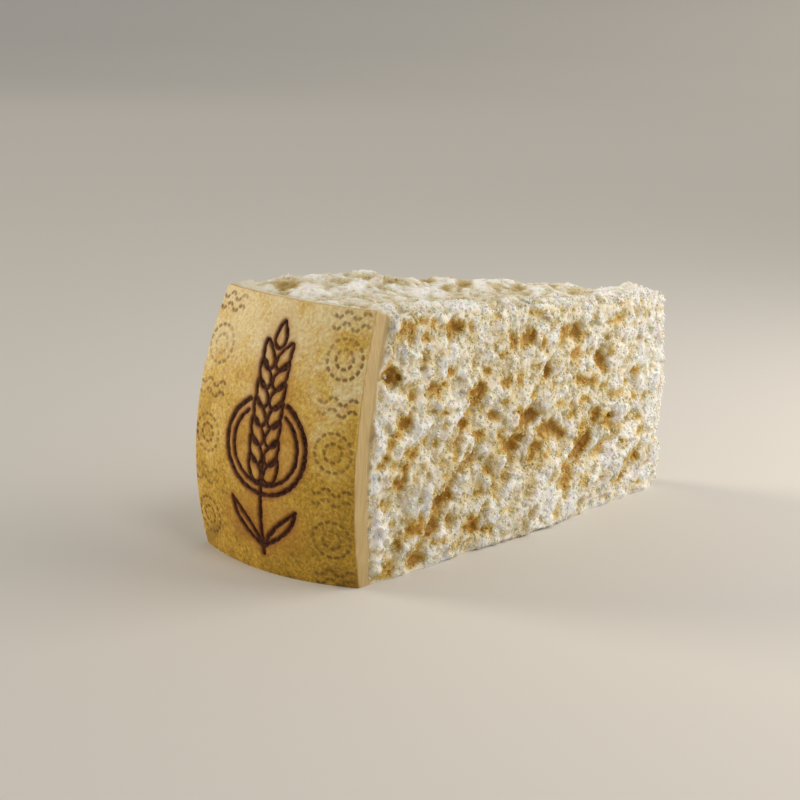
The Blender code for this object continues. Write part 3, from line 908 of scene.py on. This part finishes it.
def rindMaterial():
    # dry oiled cheese rind: satin, tan, finely pored, mottled like old leather
    material, tree, shader = newMaterial("dryOiledRind")
    where = addNode(tree, "TexCoord").outputs["Object"]
    burn, scorch, singe, pins = (
        addNode(tree, "Attribute", {"attribute_name": name}).outputs["Fac"]
        for name in ("burn", "scorch", "singe", "pins"))
    cloud = addNode(tree, "TexNoise", {
        "Scale": 1 / (19 * mm), "Detail": 5.0, "Roughness": 0.6, "Distortion": 0.4},
        {"Vector": where})
    cloud = addNode(tree, "MapRange", {
        "From Min": 0.30, "From Max": 0.70, "To Min": 0.24, "To Max": 0.76},
        {"Value": cloud.outputs["Fac"]})
    dust = addNode(tree, "TexNoise", {
        "Scale": 1 / (1.6 * mm), "Detail": 4.0, "Roughness": 0.75}, {"Vector": where})
    # painted shade: darker towards the foot and paler towards the top, as less light reaches the
    # lower rind
    axes = addNode(tree, "SeparateXYZ", None, {"Vector": where})
    level = addNode(tree, "MapRange", {
        "From Max": wedgeShape["rindHeight"], "To Min": -0.30, "To Max": 0.36},
        {"Value": axes.outputs["Z"]})
    level = addNode(tree, "Math", {
        "operation": "ADD"}, {0: level.outputs[0], 1: cloud.outputs[0]})
    base = addNode(tree, "ValToRGB", {"stops": (
        (0.14, "#A58028"), (0.28, "#BC9434"), (0.44, "#C49C3A"), (0.62, "#D8B45C"),
        (0.84, "#E4CF9A"))}, {"Fac": level.outputs[0]})
    grainTone = addNode(tree, "ValToRGB", {"stops": (
        (0.30, 0.12), (0.50, 0.5), (0.70, 0.88))}, {"Fac": dust.outputs["Fac"]})
    colour = addNode(tree, "Mix", {"data_type": "RGBA", "blend_type": "OVERLAY", 0: 0.75}, {
        6: base.outputs[0], 7: grainTone.outputs[0]})
    # over it: toasted by the plate, scorched beside the lines, pricked, and charred
    toast = addNode(tree, "Math", {
        "operation": "MULTIPLY_ADD", 1: 0.8, 2: -0.08}, {0: dust.outputs["Fac"]})
    toast = addNode(tree, "Math", {
        "operation": "MULTIPLY", "use_clamp": True}, {0: singe, 1: toast.outputs[0]})
    halo = addNode(tree, "Math", {"operation": "MULTIPLY", 1: 0.78}, {0: scorch})
    pricked = addNode(tree, "Math", {"operation": "MULTIPLY", 1: 0.8}, {0: pins})
    patchy = addNode(tree, "MapRange", {
        "From Min": 0.28, "From Max": 0.55, "To Min": 0.55, "To Max": 1.0},
        {"Value": dust.outputs["Fac"]})
    charred = addNode(tree, "Math", {"operation": "MULTIPLY"}, {0: burn, 1: patchy.outputs[0]})
    for share, hexCode in (
            (toast, "#BA7630"), (halo, "#86401C"), (pricked, "#6E4E20"), (charred, "#2C0F08")):
        colour = addNode(tree, "Mix", {"data_type": "RGBA", 7: linear(hexCode)}, {
            0: share.outputs[0], 6: colour.outputs[2]})
    gloss = addNode(tree, "MapRange", {
        "From Min": 0.2, "From Max": 0.8, "To Min": 0.46, "To Max": 0.64},
        {"Value": dust.outputs["Fac"]})
    gloss = addNode(tree, "Math", {
        "operation": "MULTIPLY_ADD", 1: 0.35}, {0: burn, 2: gloss.outputs[0]})
    pores = addNode(tree, "TexVoronoi", {"Scale": 1 / (1.5 * mm)}, {"Vector": where})
    bumpPores = addNode(tree, "Bump", {
        "Strength": 0.25, "Distance": 0.2 * mm}, {"Height": pores.outputs["Distance"]})
    bumpDust = addNode(tree, "Bump", {"Strength": 0.35, "Distance": 0.2 * mm}, {
        "Height": dust.outputs["Fac"], "Normal": bumpPores.outputs[0]})
    tree.links.new(colour.outputs[2], shader.inputs["Base Color"])
    tree.links.new(gloss.outputs[0], shader.inputs["Roughness"])
    tree.links.new(bumpDust.outputs[0], shader.inputs["Normal"])
    shader.inputs["IOR"].default_value = 1.46
    shader.inputs["Specular IOR Level"].default_value = 0.28
    return material


def scoredMaterial():
    # rind cut through with a knife: smooth, dense, tan outside and cream inside, faint blade streaks
    material, tree, shader = newMaterial("scoredRindEdge")
    where = addNode(tree, "TexCoord").outputs["Object"]
    depth, facing = (
        addNode(tree, "Attribute", {"attribute_name": name}).outputs["Fac"]
        for name in ("depth", "topness"))
    streaks = addNode(tree, "Mapping", {
        "Scale": (1 / (1.1 * mm), 1 / (1.1 * mm), 1 / (14 * mm))}, {"Vector": where})
    streak = addNode(tree, "TexNoise", {
        "Scale": 1.0, "Detail": 3.0}, {"Vector": streaks.outputs[0]})
    wander = addNode(tree, "Math", {
        "operation": "MULTIPLY_ADD", 1: 0.30, 2: -0.15}, {0: streak.outputs["Fac"]})
    place = addNode(tree, "Math", {"operation": "ADD"}, {0: depth, 1: wander.outputs[0]})
    colour = addNode(tree, "ValToRGB", {"stops": (
        (0.0, "#B5924E"), (0.10, "#C8AD78"), (0.50, "#C6AC78"), (1.0, "#C2A978"))},
        {"Fac": place.outputs[0]})
    # creamier on the top
    creamy = addNode(tree, "Math", {"operation": "MULTIPLY"}, {0: facing, 1: place.outputs[0]})
    creamy = addNode(tree, "MapRange", {
        "From Min": 0.05, "From Max": 0.6, "To Max": 0.95}, {"Value": creamy.outputs[0]})
    creamed = addNode(tree, "Mix", {"data_type": "RGBA", 7: linear("#E2DCC6")}, {
        0: creamy.outputs[0], 6: colour.outputs[0]})
    streakTone = addNode(tree, "ValToRGB", {"stops": (
        (0.30, 0.40), (0.50, 0.5), (0.70, 0.62))}, {"Fac": streak.outputs["Fac"]})
    final = addNode(tree, "Mix", {"data_type": "RGBA", "blend_type": "OVERLAY", 0: 0.55}, {
        6: creamed.outputs[2], 7: streakTone.outputs[0]})
    bump = addNode(tree, "Bump", {
        "Strength": 0.2, "Distance": 0.2 * mm}, {"Height": streak.outputs["Fac"]})
    tree.links.new(final.outputs[2], shader.inputs["Base Color"])
    tree.links.new(bump.outputs[0], shader.inputs["Normal"])
    shader.inputs["Roughness"].default_value = 0.48
    shader.inputs["IOR"].default_value = 1.46
    shader.inputs["Subsurface Weight"].default_value = 0.15
    shader.inputs["Subsurface Radius"].default_value = (1.0, 0.6, 0.3)
    shader.inputs["Subsurface Scale"].default_value = 2 * mm
    return material


def dressRind(skin):
    # the outer face has the first material, the scored edges the second
    skin.data.materials.append(rindMaterial())
    skin.data.materials.append(scoredMaterial())
    depth = readField(skin.data, "depth")
    slots = [1 if max(depth[list(face.vertices)]) > 0.001 else 0 for face in skin.data.polygons]
    skin.data.polygons.foreach_set("material_index", slots)


# stage: a wide pale floor, a soft room, two suns and a large side lamp
studio = {
    "floorRadius": 4,  # metres
    "rim": ((0.04, 1.10), (0.12, 1.08), (0.22, 1.06), (0.34, 1.05)),  # rise in metres, spread
    "floorColour": "#D6D4D0",
    "room": 0.36, "roomColour": "#F4F1EC",  # strength and colour of the light all round
    "suns": (  # towards the light, softness in degrees, power, colour
        ("keySun", (0.02, -0.46, 0.87), 20, 0.44, "#FFF8EE"),
        ("leftSun", (-0.50, 0.80, 0.31), 25, 1.95, "#FFF2DC")),
    "side": ((0.44, -0.42, 0.46), 0.55, 3.55, "#FFF6EA"),  # place, size, power, colour
    "sideAim": (0.05, 0, 0.05),
}


def makeFloor():
    # a wide pale bowl: flat, with a low curved rim far off
    bpy.ops.object.select_all(action="DESELECT")
    bpy.ops.mesh.primitive_circle_add(
        vertices=96, radius=studio["floorRadius"], fill_type="TRIFAN", location=(0, 0, 0))
    floor = bpy.context.object
    floor.name = "floor"
    bpy.ops.object.mode_set(mode="EDIT")
    bpy.ops.mesh.select_all(action="DESELECT")
    bpy.ops.mesh.select_mode(type="EDGE")
    bpy.ops.mesh.select_non_manifold()
    for rise, spread in studio["rim"]:
        bpy.ops.mesh.extrude_region_move(TRANSFORM_OT_translate={"value": (0, 0, rise)})
        bpy.ops.transform.resize(value=(spread, spread, 1), center_override=(0, 0, 0))
    bpy.ops.object.mode_set(mode="OBJECT")
    bpy.ops.object.shade_smooth()
    material, _, shader = newMaterial("paleFloor")  # matt card
    shader.inputs["Base Color"].default_value = linear(studio["floorColour"])
    shader.inputs["Roughness"].default_value = 0.75
    floor.data.materials.append(material)


def hangLamp(name, kind, place, way, power, tint):
    light = bpy.data.lights.new(name, kind)
    light.energy = power
    light.color = linear(tint)[:3]
    lamp = bpy.data.objects.new(name, light)
    lamp.location = place
    lamp.rotation_euler = way.to_track_quat("-Z", "Y").to_euler()
    bpy.context.scene.collection.objects.link(lamp)
    return light


def makeLights():
    world = bpy.data.worlds.new("softRoom")
    world.use_nodes = True
    background = world.node_tree.nodes["Background"]
    background.inputs["Color"].default_value = linear(studio["roomColour"])
    background.inputs["Strength"].default_value = studio["room"]
    bpy.context.scene.world = world
    for name, towards, soft, power, tint in studio["suns"]:
        sun = hangLamp(name, "SUN", (0, 0, 0), -Vector(towards), power, tint)
        sun.angle = math.radians(soft)
    place, size, power, tint = studio["side"]
    way = Vector(studio["sideAim"]) - Vector(place)
    hangLamp("sideLamp", "AREA", place, way, power, tint).size = size


def makeCamera():
    lens = bpy.data.cameras.new("photoView")
    lens.lens = shown["lens"]
    lens.sensor_width = shown["sensor"]
    lens.clip_start = 0.01
    camera = bpy.data.objects.new("photoView", lens)
    tilt, turn = math.radians(90 - shown["down"]), math.radians(shown["heading"] - 90)
    look = Euler((tilt, 0, turn)).to_matrix()
    look = look @ Matrix.Rotation(math.radians(shown["roll"]), 3, "Z")
    camera.matrix_world = Matrix.Translation(shown["place"]) @ look.to_4x4()
    bpy.context.scene.collection.objects.link(camera)
    bpy.context.scene.camera = camera


makeFloor()
makeLights()
makeCamera()
bpy.context.scene.view_settings.view_transform = "Standard"
print("stage: floor, lights and camera")
skin = makeRind()
dressRind(skin)
body, band, side = makePaste()
pieces = splitPaste(body, band, side)
for piece, seed in zip(list(pieces), (41, 42)):
    pieces.append(makeCrumbs(piece.name.replace("paste", "crumbs"), piece, seed))
curd = pasteMaterial()
for piece in pieces:
    piece.data.materials.append(curd)
    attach(piece, "root")
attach(skin, "root")
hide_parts("wedge")
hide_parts("wedge")
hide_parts("wedge")
